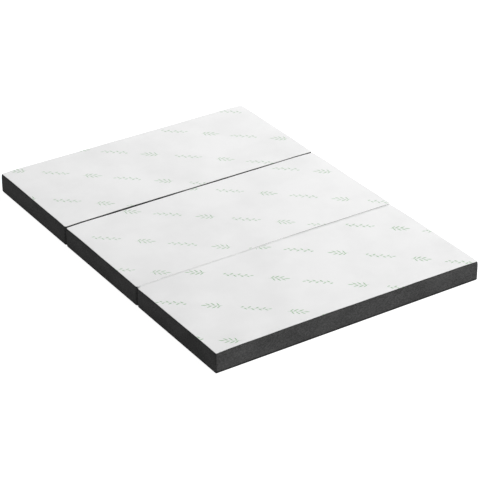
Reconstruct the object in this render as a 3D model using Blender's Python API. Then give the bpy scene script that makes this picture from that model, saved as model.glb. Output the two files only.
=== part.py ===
# Folding mattress: three zipped foam cushions joined by two strips of cloth, which fold into a Z.
# Metres, +Z up. The width runs along X, the length along Y with the head end at +Y, the base is at Z = 0.

from math import cos, pi, sin, sqrt

import bmesh
import bpy
from mathutils import Vector

# Overall sizes, lying flat
LENGTH = 1.900
WIDTH = 1.370
HEIGHT = 0.102

# Gaps
FOLD_GAP = 0.0025
SEAT_GAP = 0.0003
OVERRUN = 0.004

# Form of one section
CORNER_RADIUS = 0.010
EDGE_RADIUS = 0.006
TOP_INSET = 0.0028
END_DROOP = 0.0060
SIDE_DROOP = 0.0012
SEAM_DIP = 0.0012
EDGE_BAND = 0.030
DROOP_POWER = 2.5

# Cloths
TOP_CLOTH = 0.0016
BORDER_CLOTH = 0.0015
BASE_CLOTH = 0.0012
HINGE_CLOTH = 0.0006

# Zip, one in the right-hand wall of each section
ZIP_MARGIN = 0.056
SLOT_WIDTH = 0.016
SLOT_CORNER = 0.004
TAPE_WIDTH = 0.0145
TAPE_CLOTH = 0.0006
TAPE_LAP = 0.010
COIL_WIDTH = 0.0022
COIL_DEPTH = 0.0012
STOP_LENGTH = 0.004

# Zip slider and its pull
SLIDER_LENGTH = 0.012
SLIDER_PLATE = 0.0010
SLIDER_FLANGE = 0.0009
SLIDER_NECK = 0.0006
BAIL_LENGTH = 0.0070
BAIL_WIDTH = 0.0020
BAIL_BAR = 0.0009
BAIL_CLEAR = 0.0018
PULL_LENGTH = 0.026
PULL_WIDTH = 0.0070
PULL_PLATE = 0.0012
PULL_CLEAR = 0.0004
PULL_EYE_LENGTH = 0.0050
PULL_EYE_WIDTH = 0.0024

# Counts
CORNER_STEPS = 4
EASE_STEPS = 3
LONG_STEPS = 6
SHORT_STEPS = 4
EDGE_STEPS = 4

# Shares of the sizes that they follow
CROWN_SHARES = (0.45, 0.85)
WALL_EASE_SHARE = 0.4
WALL_RISE_SHARE = 0.55
TIGHT_CORNER_SHARE = 0.2
PANEL_ROUND_SHARE = 0.3
BAND_MARGIN_SHARE = 0.15
SLIDER_OUTLINE_SHARES = ((-0.50, 0.85), (-0.40, 1.07), (0.02, 1.07), (0.22, 1.28), (0.38, 1.28), (0.50, 0.76))
NECK_SHARES = (0.15, 0.45)
FLANGE_SHARES = (-0.36, 0.05)
PULL_WAIST_SHARE = 0.62
PULL_TIP_SHARE = 1.1
PULL_EYE_SHARE = 0.75
EASE_SHARE = 0.25
PARALLEL_SHARE = 0.001

# Places that follow from the sizes
SECTION_DEPTH = (LENGTH - 2 * FOLD_GAP) / 3
PITCH = SECTION_DEPTH + FOLD_GAP
ZIP_PROUD = SLIDER_PLATE + BAIL_CLEAR + BAIL_BAR
HALF_X = (WIDTH - ZIP_PROUD) / 2
HALF_Y = SECTION_DEPTH / 2
ZIP_LENGTH = SECTION_DEPTH - 2 * ZIP_MARGIN
CENTRE_X = -ZIP_PROUD / 2
WALL_X = CENTRE_X + HALF_X
ZIP_Z = HEIGHT / 2
COIL_SPACING = SLIDER_NECK + 2 * SEAT_GAP
TAPE_TOP = COIL_SPACING / 2 + TAPE_WIDTH
BAND_TOP = TAPE_TOP * (1 + BAND_MARGIN_SHARE)
TAPE_OUT = WALL_X - BORDER_CLOTH - SEAT_GAP
TAPE_IN = TAPE_OUT - TAPE_CLOTH
COIL_IN = TAPE_OUT + SEAT_GAP
COIL_OUT = COIL_IN + COIL_DEPTH
COIL_HALF = ZIP_LENGTH / 2 - STOP_LENGTH - SEAT_GAP
COIL_EDGE = COIL_SPACING / 2 + COIL_WIDTH
PLATE_IN = COIL_OUT + SEAT_GAP
PLATE_OUT = PLATE_IN + SLIDER_PLATE
BACK_OUT = TAPE_IN - SEAT_GAP
BACK_IN = BACK_OUT - SLIDER_PLATE
SLIDER_HALF_WIDTH = COIL_EDGE + SEAT_GAP + SLIDER_FLANGE
SLIDER_REST = COIL_HALF - SLIDER_LENGTH / 2
PIN_X = PLATE_OUT + BAIL_CLEAR / 2

SECTIONS = {"head": PITCH, "middle": 0, "foot": -PITCH}

# Colours as linear values
KNIT_WHITE = (0.80, 0.82, 0.80)
BORDER_GREY = (0.028, 0.028, 0.031)
BASE_GREY = (0.045, 0.045, 0.048)
TAPE_WHITE = (0.62, 0.64, 0.62)
TAPE_BLACK = (0.012, 0.012, 0.013)
FOAM_CREAM = (0.78, 0.72, 0.55)
ZIP_METAL = (0.35, 0.35, 0.36)


def clear_scene():
    for thing in list(bpy.data.objects):
        bpy.data.objects.remove(thing, do_unlink=True)


def carrier(name, place, parent=None):
    # An empty on the joint's axis, which carries the pieces that move with it.
    empty = bpy.data.objects.new(name, None)
    bpy.context.collection.objects.link(empty)
    empty.location = place
    if parent:
        empty.location = Vector(place) - parent.matrix_world.translation
        empty.parent = parent
    bpy.context.view_layer.update()
    return empty


def finish(name, colour, roughness, metallic):
    material = bpy.data.materials.new(name + "_finish")
    material.use_nodes = True
    shader = material.node_tree.nodes["Principled BSDF"]
    shader.inputs["Base Color"].default_value = (*colour, 1)
    shader.inputs["Roughness"].default_value = roughness
    shader.inputs["Metallic"].default_value = metallic
    return material


def piece(name, bm, parent, look):
    # Makes the object from a closed bmesh in world places, carried by its parent.
    bmesh.ops.recalc_face_normals(bm, faces=bm.faces)
    mesh = bpy.data.meshes.new(name)
    bm.to_mesh(mesh)
    bm.free()
    thing = bpy.data.objects.new(name, mesh)
    bpy.context.collection.objects.link(thing)
    thing.data.materials.append(finish(name, *look))
    if parent:
        thing.parent = parent
        thing.matrix_parent_inverse = parent.matrix_world.inverted()
    return thing


def tool(name, bm, parent):
    # A cutter or an added lump, which is no piece of its own.
    thing = piece(name, bm, parent, (TAPE_BLACK, 1, 0))
    thing.hide_render = True
    thing.display_type = "WIRE"
    return thing


def combine(thing, other, operation):
    modifier = thing.modifiers.new(other.name, "BOOLEAN")
    modifier.object = other
    modifier.operation = operation
    modifier.solver = "EXACT"


def loft(rings, closed):
    # Bridges rings of points; an open run of rings gets a cap at each end.
    bm = bmesh.new()
    loops = []
    for places in rings:
        points = [bm.verts.new(place) for place in places]
        pairs = zip(points, points[1:] + points[:1])
        loops.append((points, [bm.edges.new(pair) for pair in pairs]))
    spans = list(zip(loops, loops[1:]))
    if closed:
        spans.append((loops[-1], loops[0]))
    else:
        for points, _ in (loops[0], loops[-1]):
            bm.faces.new(points)
            rib_cap(bm, points)
    for (_, near), (_, far) in spans:
        bmesh.ops.bridge_loops(bm, edges=near + far)
    bmesh.ops.triangulate(bm, faces=bm.faces, quad_method="SHORT_EDGE", ngon_method="BEAUTY")
    return bm


def rib_cap(bm, points):
    # Joins the facing points of a section's two long sides, so that its cap bends along X only.
    start = CORNER_STEPS
    facing = start + len(points) // 2 + LONG_STEPS
    if len(points) < facing:
        return
    for step in range(LONG_STEPS + 1):
        bmesh.ops.connect_verts(bm, verts=[points[start + step], points[facing - step]])


def prism(points, along):
    # A flat outline drawn out along a vector.
    bm = bmesh.new()
    face = bm.faces.new([bm.verts.new(point) for point in points])
    drawn = bmesh.ops.extrude_face_region(bm, geom=[face])
    moved = [item for item in drawn["geom"] if isinstance(item, bmesh.types.BMVert)]
    bmesh.ops.translate(bm, verts=moved, vec=along)
    return bm


def block(low, high):
    low = Vector(low)
    high = Vector(high)
    bm = bmesh.new()
    bmesh.ops.create_cube(bm, size=1)
    bmesh.ops.scale(bm, vec=high - low, verts=bm.verts)
    bmesh.ops.translate(bm, vec=(low + high) / 2, verts=bm.verts)
    return bm


def ease(bm, width, direction):
    # Rounds the edges that run along one axis.
    axis = Vector(direction)
    edges = []
    for edge in bm.edges:
        run = edge.verts[1].co - edge.verts[0].co
        if run.cross(axis).length < PARALLEL_SHARE * run.length:
            edges.append(edge)
    bmesh.ops.bevel(
        bm, geom=edges, offset=width, segments=EASE_STEPS, profile=0.5, affect="EDGES", clamp_overlap=True
    )
    return bm


def outline(inset):
    # Plan of a section about its own centre, drawn in from its widest line.
    reach = Vector((HALF_X - inset, HALF_Y - inset))
    radius = max(CORNER_RADIUS - inset, CORNER_RADIUS * TIGHT_CORNER_SHARE)
    sides = ((1, 1), (-1, 1), (-1, -1), (1, -1))
    arcs = []
    for quarter, (side_x, side_y) in enumerate(sides):
        centre = Vector((side_x * (reach.x - radius), side_y * (reach.y - radius)))
        angles = [(quarter + step / CORNER_STEPS) * pi / 2 for step in range(CORNER_STEPS + 1)]
        arcs.append([centre + radius * Vector((cos(angle), sin(angle))) for angle in angles])
    points = []
    for quarter, arc in enumerate(arcs):
        points += arc
        steps = SHORT_STEPS if quarter % 2 else LONG_STEPS
        target = arcs[(quarter + 1) % len(arcs)][0]
        points += [arc[-1].lerp(target, step / steps) for step in range(1, steps)]
    return points


def ring(middle_y, inset, level):
    # One ring of a shell; its level is a height, or a rule of the place in the section.
    points = []
    for place in outline(inset):
        height = level(place.x, place.y) if callable(level) else level
        points.append((CENTRE_X + place.x, middle_y + place.y, height))
    return points


def panel_level(x, y, inset):
    # Upper face of the top panel: a low crown that droops to the corners and dips at the seam.
    droop = END_DROOP * abs(x / HALF_X) ** DROOP_POWER + SIDE_DROOP * abs(y / HALF_Y) ** DROOP_POWER
    inward = min((inset - TOP_INSET) / EDGE_BAND, 1)
    return HEIGHT - droop - SEAM_DIP * (1 - inward) ** 2


def seam_level(x, y):
    # Upper edge of the border, just under the edge of the top panel.
    return panel_level(x, y, TOP_INSET) - TOP_CLOTH - SEAT_GAP


def crown_ring(middle_y, inset, depth):
    return ring(middle_y, inset, lambda x, y: panel_level(x, y, inset) - depth)


def crown_insets():
    return [TOP_INSET + EDGE_BAND] + [HALF_Y * share for share in CROWN_SHARES]


def wall_rings(middle_y, offset, eased):
    # Wall of a section from its top seam to its base seam, drawn in by a cloth's thickness.
    band_top = ZIP_Z + BAND_TOP
    rings = [ring(middle_y, TOP_INSET + offset, seam_level)]
    if eased:
        rings.append(
            ring(
                middle_y,
                TOP_INSET * WALL_EASE_SHARE + offset,
                lambda x, y: band_top + WALL_RISE_SHARE * (seam_level(x, y) - band_top),
            )
        )
    rings.append(ring(middle_y, offset, band_top))
    rings.append(ring(middle_y, offset, ZIP_Z - BAND_TOP))
    steps = EDGE_STEPS if eased else EDGE_STEPS // 2
    radius = EDGE_RADIUS - offset
    for step in range(steps + 1):
        angle = step / steps * pi / 2
        inset = EDGE_RADIUS - radius * cos(angle)
        rings.append(ring(middle_y, inset, EDGE_RADIUS - radius * sin(angle)))
    return rings


def top_panel(section, middle_y, parent):
    lip = TOP_CLOTH * PANEL_ROUND_SHARE
    rings = [crown_ring(middle_y, inset, TOP_CLOTH) for inset in reversed(crown_insets())]
    rings.append(crown_ring(middle_y, TOP_INSET, TOP_CLOTH))
    rings.append(crown_ring(middle_y, TOP_INSET, lip))
    rings.append(crown_ring(middle_y, TOP_INSET + lip, 0))
    rings.append(crown_ring(middle_y, TOP_INSET + EDGE_BAND / 2, 0))
    rings += [crown_ring(middle_y, inset, 0) for inset in crown_insets()]
    piece(section + "_top_panel", loft(rings, False), parent, (KNIT_WHITE, 0.85, 0))


def border(section, middle_y, parent):
    outer = wall_rings(middle_y, 0, True)
    inner = wall_rings(middle_y, BORDER_CLOTH, False)
    thing = piece(section + "_border", loft(outer + inner[::-1], True), parent, (BORDER_GREY, 0.9, 0))
    low = (WALL_X - BORDER_CLOTH - OVERRUN, middle_y - ZIP_LENGTH / 2, ZIP_Z - SLOT_WIDTH / 2)
    high = (WALL_X + OVERRUN, middle_y + ZIP_LENGTH / 2, ZIP_Z + SLOT_WIDTH / 2)
    slot = tool(section + "_zip_slot", ease(block(low, high), SLOT_CORNER, (1, 0, 0)), parent)
    combine(thing, slot, "DIFFERENCE")


def base_panel(section, middle_y, parent):
    inset = EDGE_RADIUS + SEAT_GAP
    rings = [ring(middle_y, inset, 0), ring(middle_y, inset, BASE_CLOTH)]
    piece(section + "_base_panel", loft(rings, False), parent, (BASE_GREY, 0.8, 0))


def foam_core(section, middle_y, parent):
    offset = BORDER_CLOTH + SEAT_GAP
    depth = TOP_CLOTH + SEAT_GAP
    crown = [crown_ring(middle_y, inset, depth) for inset in reversed(crown_insets())]
    wall = wall_rings(middle_y, offset, False)
    thing = piece(section + "_foam_core", loft(crown + wall, False), parent, (FOAM_CREAM, 0.95, 0))
    clear = 2 * SEAT_GAP
    half = ZIP_LENGTH / 2 + TAPE_LAP + clear
    low = (TAPE_IN - SEAT_GAP, middle_y - half, ZIP_Z - TAPE_TOP - clear)
    high = (WALL_X + OVERRUN, middle_y + half, ZIP_Z + TAPE_TOP + clear)
    combine(thing, tool(section + "_tape_recess", block(low, high), parent), "DIFFERENCE")
    widest = max(share for _, share in SLIDER_OUTLINE_SHARES)
    half = COIL_HALF + clear
    reach = SLIDER_HALF_WIDTH * widest + clear
    low = (BACK_IN - SEAT_GAP, middle_y - half, ZIP_Z - reach)
    high = (WALL_X + OVERRUN, middle_y + half, ZIP_Z + reach)
    combine(thing, tool(section + "_slider_channel", block(low, high), parent), "DIFFERENCE")


def zip_chain(section, middle_y, parent):
    # Two tapes behind the slot's edges, each with a row of coil along its inner edge.
    for row, side in (("upper", 1), ("lower", -1)):
        edge = ZIP_Z + side * COIL_SPACING / 2
        half = ZIP_LENGTH / 2 + TAPE_LAP
        ends = sorted((edge, edge + side * TAPE_WIDTH))
        tape = block((TAPE_IN, middle_y - half, ends[0]), (TAPE_OUT, middle_y + half, ends[1]))
        piece(f"{section}_zip_tape_{row}", tape, parent, (TAPE_BLACK, 0.9, 0))
        ends = sorted((edge, edge + side * COIL_WIDTH))
        coil = block((COIL_IN, middle_y - COIL_HALF, ends[0]), (COIL_OUT, middle_y + COIL_HALF, ends[1]))
        ease(coil, COIL_DEPTH * EASE_SHARE, (0, 1, 0))
        piece(f"{section}_zip_coil_{row}", coil, parent, (TAPE_BLACK, 0.45, 0))


def zip_stops(section, middle_y, parent):
    # Two stops at the closed end, one across both rows at the open end.
    start = COIL_HALF + SEAT_GAP
    spans = {
        "upper": (start, COIL_SPACING / 2, COIL_EDGE),
        "lower": (start, -COIL_EDGE, -COIL_SPACING / 2),
        "end": (-start - STOP_LENGTH, -COIL_EDGE, COIL_EDGE),
    }
    for place, (from_y, low_z, high_z) in spans.items():
        low = (COIL_IN, middle_y + from_y, ZIP_Z + low_z)
        high = (COIL_OUT, middle_y + from_y + STOP_LENGTH, ZIP_Z + high_z)
        stop = ease(block(low, high), COIL_DEPTH * EASE_SHARE, (0, 0, 1))
        piece(f"{section}_zip_stop_{place}", stop, parent, (ZIP_METAL, 0.35, 1))


def slider_plate(low_x, centre_y):
    # A plate of the slider, wider where the two rows come apart.
    half = [(along * SLIDER_LENGTH, across * SLIDER_HALF_WIDTH) for along, across in SLIDER_OUTLINE_SHARES]
    points = [(low_x, centre_y + along, ZIP_Z + across) for along, across in half]
    points += [(low_x, centre_y + along, ZIP_Z - across) for along, across in reversed(half)]
    return ease(prism(points, (SLIDER_PLATE, 0, 0)), SLIDER_PLATE, (1, 0, 0))


def slider_bail(centre_y):
    # The arch on the front plate that the pull's end bar lies under.
    half = BAIL_LENGTH / 2
    root = PLATE_OUT - SLIDER_PLATE / 2
    inner = PLATE_OUT + BAIL_CLEAR
    outer = inner + BAIL_BAR
    shape = (
        (root, -half),
        (inner, -half),
        (outer, BAIL_BAR - half),
        (outer, half - BAIL_BAR),
        (inner, half),
        (root, half),
        (root, half - BAIL_BAR),
        (inner, half - BAIL_BAR),
        (inner, BAIL_BAR - half),
        (root, BAIL_BAR - half),
    )
    points = [(x, centre_y + y, ZIP_Z - BAIL_WIDTH / 2) for x, y in shape]
    return ease(prism(points, (0, 0, BAIL_WIDTH)), BAIL_BAR * EASE_SHARE, (0, 0, 1))


def zip_slider(section, centre_y, parent):
    # Two plates held apart by a neck, flanges round the rows, and a bail that holds the pull.
    name = section + "_zip_slider"
    thing = piece(name, slider_plate(PLATE_IN, centre_y), parent, (ZIP_METAL, 0.35, 1))
    combine(thing, tool(name + "_back", slider_plate(BACK_IN, centre_y), parent), "UNION")

    skin = SLIDER_PLATE / 2
    ends = [centre_y + share * SLIDER_LENGTH for share in NECK_SHARES]
    low = (BACK_OUT - skin, ends[0], ZIP_Z - SLIDER_NECK / 2)
    high = (PLATE_IN + skin, ends[1], ZIP_Z + SLIDER_NECK / 2)
    combine(thing, tool(name + "_neck", block(low, high), parent), "UNION")

    ends = [centre_y + share * SLIDER_LENGTH for share in FLANGE_SHARES]
    for row, side in (("upper", 1), ("lower", -1)):
        heights = sorted((ZIP_Z + side * SLIDER_HALF_WIDTH, ZIP_Z + side * (COIL_EDGE + SEAT_GAP)))
        low = (TAPE_OUT + SEAT_GAP, ends[0], heights[0])
        high = (PLATE_IN + skin, ends[1], heights[1])
        combine(thing, tool(f"{name}_flange_{row}", block(low, high), parent), "UNION")
    combine(thing, tool(name + "_bail", slider_bail(centre_y), parent), "UNION")


def zip_pull(section, centre_y, parent):
    # A flat tab with a window at one end, whose end bar lies under the bail, and an eye at the other.
    bar = PULL_PLATE / 2
    half = PULL_WIDTH / 2
    tip = PULL_LENGTH - bar
    window = BAIL_LENGTH / 2 + BAIL_BAR + PULL_CLEAR
    side = (
        (-bar, half),
        (window, half),
        (window + half, half * PULL_WAIST_SHARE),
        (tip - PULL_EYE_LENGTH - half, half * PULL_WAIST_SHARE),
        (tip - PULL_EYE_LENGTH, half * PULL_TIP_SHARE),
        (tip, half * PULL_TIP_SHARE),
    )
    points = [(PIN_X - bar, centre_y + y, ZIP_Z + z) for y, z in side]
    points += [(PIN_X - bar, centre_y + y, ZIP_Z - z) for y, z in reversed(side)]
    plate = ease(prism(points, (PULL_PLATE, 0, 0)), half * EASE_SHARE, (1, 0, 0))
    thing = piece(section + "_zip_pull", plate, parent, (ZIP_METAL, 0.35, 1))
    across = BAIL_WIDTH / 2 + PULL_CLEAR
    low = (PIN_X - bar - OVERRUN, centre_y + bar, ZIP_Z - across)
    high = (PIN_X + bar + OVERRUN, centre_y + window, ZIP_Z + across)
    combine(thing, tool(section + "_pull_window", block(low, high), parent), "DIFFERENCE")
    eye_y = centre_y + tip - PULL_EYE_LENGTH * PULL_EYE_SHARE
    low = (PIN_X - bar - OVERRUN, eye_y - PULL_EYE_LENGTH / 2, ZIP_Z - PULL_EYE_WIDTH / 2)
    high = (PIN_X + bar + OVERRUN, eye_y + PULL_EYE_LENGTH / 2, ZIP_Z + PULL_EYE_WIDTH / 2)
    eye = ease(block(low, high), PULL_EYE_WIDTH / 2, (1, 0, 0))
    combine(thing, tool(section + "_pull_eye", eye, parent), "DIFFERENCE")
    edges = thing.modifiers.new("eased edges", "BEVEL")
    edges.width = PULL_PLATE * EASE_SHARE
    edges.segments = 1
    edges.limit_method = "ANGLE"


def lower_hinge_tape(name, fold_y, side, parent):
    # Half of the strip under the fold, from the fold line to the rounded edge of its section.
    rise = HINGE_CLOTH + SEAT_GAP
    tuck = sqrt(EDGE_RADIUS**2 - (EDGE_RADIUS - rise) ** 2)
    reach = FOLD_GAP / 2 + EDGE_RADIUS - tuck
    ends = sorted((fold_y + side * SEAT_GAP / 2, fold_y + side * reach))
    half = HALF_X - CORNER_RADIUS
    strip = block((CENTRE_X - half, ends[0], 0), (CENTRE_X + half, ends[1], HINGE_CLOTH))
    piece(name, strip, parent, (TAPE_BLACK, 0.9, 0))


def upper_hinge_tape(name, fold_y, side, parent):
    # Half of the strip over the fold, which follows the drooping seam of its section.
    near = fold_y + side * SEAT_GAP / 2
    far = fold_y + side * (FOLD_GAP / 2 + TOP_INSET - SEAT_GAP)
    half = HALF_X - CORNER_RADIUS
    rings = []
    for step in range(LONG_STEPS + 1):
        x = half * (2 * step / LONG_STEPS - 1)
        low = seam_level(x, HALF_Y - TOP_INSET)
        high = low + HINGE_CLOTH
        rings.append([(CENTRE_X + x, y, z) for y, z in ((near, low), (far, low), (far, high), (near, high))])
    piece(name, loft(rings, False), parent, (TAPE_WHITE, 0.9, 0))


def section_pieces(section, middle_y, parent):
    foam_core(section, middle_y, parent)
    border(section, middle_y, parent)
    top_panel(section, middle_y, parent)
    base_panel(section, middle_y, parent)
    zip_chain(section, middle_y, parent)
    zip_stops(section, middle_y, parent)
    slider_y = middle_y + SLIDER_REST
    slider = carrier(section + "_slider_carrier", (PIN_X, slider_y, ZIP_Z), parent)
    zip_slider(section, slider_y, slider)
    pull = carrier(section + "_pull_carrier", (PIN_X, slider_y, ZIP_Z), slider)
    zip_pull(section, slider_y, pull)


def build():
    clear_scene()
    head_fold = PITCH / 2
    foot_fold = -PITCH / 2
    middle = carrier("middle_carrier", (0, 0, 0))
    carriers = {
        "middle": middle,
        "head": carrier("head_carrier", (0, head_fold, -SEAT_GAP / 2), middle),
        "foot": carrier("foot_carrier", (0, foot_fold, HEIGHT + SEAT_GAP / 2), middle),
    }
    for section, middle_y in SECTIONS.items():
        section_pieces(section, middle_y, carriers[section])
    lower_hinge_tape("lower_hinge_tape_head_half", head_fold, 1, carriers["head"])
    lower_hinge_tape("lower_hinge_tape_middle_half", head_fold, -1, middle)
    upper_hinge_tape("upper_hinge_tape_middle_half", foot_fold, 1, middle)
    upper_hinge_tape("upper_hinge_tape_foot_half", foot_fold, -1, carriers["foot"])


build()
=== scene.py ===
from math import cos, exp, pi, radians, sin

import bmesh
import bpy
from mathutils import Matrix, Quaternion, Vector


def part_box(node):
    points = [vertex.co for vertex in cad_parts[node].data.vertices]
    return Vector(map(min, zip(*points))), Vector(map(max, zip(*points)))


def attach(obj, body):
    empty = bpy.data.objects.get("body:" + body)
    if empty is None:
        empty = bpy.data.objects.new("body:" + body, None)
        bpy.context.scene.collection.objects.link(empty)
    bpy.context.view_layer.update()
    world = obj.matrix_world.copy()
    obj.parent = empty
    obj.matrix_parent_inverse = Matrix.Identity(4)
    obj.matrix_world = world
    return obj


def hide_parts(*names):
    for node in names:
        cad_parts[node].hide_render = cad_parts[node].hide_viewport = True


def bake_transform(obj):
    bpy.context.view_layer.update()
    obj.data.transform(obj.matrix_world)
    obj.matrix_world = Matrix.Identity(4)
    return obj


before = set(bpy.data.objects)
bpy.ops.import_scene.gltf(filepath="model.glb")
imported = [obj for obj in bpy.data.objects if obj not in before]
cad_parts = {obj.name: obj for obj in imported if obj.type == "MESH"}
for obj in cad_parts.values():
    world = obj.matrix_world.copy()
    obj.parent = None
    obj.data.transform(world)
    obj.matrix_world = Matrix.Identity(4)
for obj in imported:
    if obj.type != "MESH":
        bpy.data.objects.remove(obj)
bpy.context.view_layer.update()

# Folding mattress: three zipped cushions. A dark strip joins the head and middle ones under their fold, and a
# white strip joins the middle and foot ones over theirs. Metres, +Z up, head end at +Y, floor at Z = 0.

# The form of one section, about its own centre
form = {
    "outerRadius": 0.006,  # corners in plan, at the mattress's two ends
    "foldRadius": 0.012,  # corners in plan, beside the folds
    "tightCorner": 0.35,  # share of a corner's radius that is left far inside the outline
    "edgeRadius": 0.006,
    "baseLift": 0.0007,  # height of the border's lowest line, with room for the strip under the fold
    "seamInset": 0.0028,
    "ceiling": 0.1014,  # height of the crowns, kept low enough for one top to be folded onto another
    "endDroop": 0.0012,
    "sideDroop": 0.0004,
    "droopPower": 2.5,
    "seamDip": 0.0002,
    "dipBand": 0.030,
    "cornerDroop": 0.0018,
    "cornerReach": 0.055,
    "lipRadius": 0.0012,
    "foldDraw": (0.0008, 0.0001),  # how far the seams lie back beside the open fold, at its left and right
    "longCells": 72,
    "shortCells": 34,
    "crowding": 0.3,  # how much narrower the cells are towards the outline
    "cornerCells": 5,
}

# Soft waves in the height of each top face: depth, turns per metre along X and Y, start
waves = {
    "head": ((0.0014, 0.62, 0.35, 0.10), (0.0009, 1.9, 0.8, 0.55), (0.0005, 4.1, 2.9, 0.20)),
    "middle": ((0.0010, 0.71, -0.42, 0.60), (0.0011, 1.6, -1.1, 0.15), (0.0005, 3.7, 3.3, 0.75)),
    "foot": ((0.0034, 0.55, 0.0, -0.085), (0.0007, 1.9, 0.9, 0.30), (0.0006, 4.4, -2.6, 0.40)),
}

# How much each top face rises towards its foot end and towards its head end
slopes = {"head": (0.0008, -0.0006), "middle": (0.0014, -0.0012), "foot": (0.0026, -0.0012)}

sections = ("head", "middle", "foot")


def sizeOf(section):
    low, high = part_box(section + "_border")
    return {"centre": (low + high) / 2, "halfX": (high.x - low.x) / 2, "halfY": (high.y - low.y) / 2}


sizes = {section: sizeOf(section) for section in sections}

# The end of each section that faces the open fold, and the one that ends the mattress: 1 for the end at +Y
openEnds = {"head": -1, "middle": 1, "foot": 0}
outerEnds = {"head": 1, "middle": 0, "foot": -1}
for section, size in sizes.items():
    size["openSide"] = openEnds[section]
    size["radii"] = {}
    for end in (-1, 1):
        size["radii"][end] = form["outerRadius" if end == outerEnds[section] else "foldRadius"]

foldAt = {
    "head": (sizes["head"]["centre"].y + sizes["middle"]["centre"].y) / 2,
    "foot": (sizes["foot"]["centre"].y + sizes["middle"]["centre"].y) / 2,
}
foldGap = sizes["head"]["centre"].y - sizes["middle"]["centre"].y - 2 * sizes["middle"]["halfY"]


# Shader helpers

def addNode(tree, kind, inputs=None, **settings):
    made = tree.nodes.new(kind)
    for name, value in settings.items():
        setattr(made, name, value)
    for name, value in (inputs or {}).items():
        made.inputs[name].default_value = value
    return made


def join(tree, source, sink):
    tree.links.new(source, sink)


def doMath(tree, operation, first, second=None, third=None):
    made = addNode(tree, "ShaderNodeMath", operation=operation)
    for index, value in enumerate((first, second, third)):
        if value is None:
            continue
        if isinstance(value, (int, float)):
            made.inputs[index].default_value = value
        else:
            join(tree, value, made.inputs[index])
    return made.outputs[0]


def rampColours(tree, factor, dark, light, low=0.0, high=1.0):
    ramp = addNode(tree, "ShaderNodeValToRGB")
    ramp.color_ramp.elements[0].position = low
    ramp.color_ramp.elements[0].color = (*dark, 1)
    ramp.color_ramp.elements[1].position = high
    ramp.color_ramp.elements[1].color = (*light, 1)
    join(tree, factor, ramp.inputs[0])
    return ramp.outputs[0]


def spread(tree, factor, low, high, fromLow=0.0, fromHigh=1.0):
    made = addNode(tree, "ShaderNodeMapRange")
    join(tree, factor, made.inputs["Value"])
    made.inputs["From Min"].default_value = fromLow
    made.inputs["From Max"].default_value = fromHigh
    made.inputs["To Min"].default_value = low
    made.inputs["To Max"].default_value = high
    return made.outputs["Result"]


def speckle(tree, place, scale, detail=2.0, roughness=0.5):
    made = addNode(tree, "ShaderNodeTexNoise", {"Scale": scale, "Detail": detail, "Roughness": roughness})
    join(tree, place, made.inputs["Vector"])
    return made.outputs[0]


def placeOf(tree, shift=(0, 0, 0), stretch=(1, 1, 1), turn=(0, 0, 0)):
    coords = addNode(tree, "ShaderNodeTexCoord")
    mapping = addNode(tree, "ShaderNodeMapping", {"Location": shift, "Rotation": turn, "Scale": stretch})
    join(tree, coords.outputs["Object"], mapping.inputs["Vector"])
    return mapping.outputs["Vector"]


def bumpFrom(tree, height, distance, strength=1.0, under=None):
    made = addNode(tree, "ShaderNodeBump", {"Strength": strength, "Distance": distance})
    join(tree, height, made.inputs["Height"])
    if under:
        join(tree, under, made.inputs["Normal"])
    return made.outputs["Normal"]


def startMaterial(name, **sockets):
    material = bpy.data.materials.new(name)
    material.use_nodes = True
    tree = material.node_tree
    shader = tree.nodes["Principled BSDF"]
    for socket, value in sockets.items():
        shader.inputs[socket.replace("_", " ")].default_value = value
    return material, tree, shader


# Woven and knitted cloths

def threads(tree, place, across, along):
    # Two crossing waves, as high as the threads that lie on top.
    first = addNode(tree, "ShaderNodeTexWave", {"Scale": across, "Distortion": 0.6}, bands_direction="X")
    second = addNode(tree, "ShaderNodeTexWave", {"Scale": along, "Distortion": 0.6}, bands_direction="Y")
    for wave in (first, second):
        join(tree, place, wave.inputs["Vector"])
    return doMath(tree, "MULTIPLY", first.outputs["Fac"], second.outputs["Fac"])


knit = {
    "white": (0.843, 0.843, 0.843),
    "shade": (0.793, 0.793, 0.793),
    "ink": (0.155, 0.375, 0.145),
    "inkPale": (0.245, 0.475, 0.235),
    "inkCover": {"head": 0.68, "middle": 0.70, "foot": 0.90},
    "leafBreadth": 1.12,
    "leafEdge": (0.88, 1.06),  # from full ink to none, 1 being the edge as drawn
    "raggedness": 0.12,
    "raggedScale": 900.0,
    "turn": 42.0,  # degrees between the rows of motifs and the width
    "rowStep": 0.262,
    "rowShift": 0.118,
    "motifStep": 0.178,
    "cloudScale": 5.0,
    "cloudBand": (0.30, 0.62),
    "fadeScale": 40.0,
    "fadeBand": (0.35, 0.75),
    "loops": (210.0, 150.0),
    "loopDepth": 0.00025,
    "softScale": 14.0,
    "softDepth": 0.0012,
}

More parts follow.
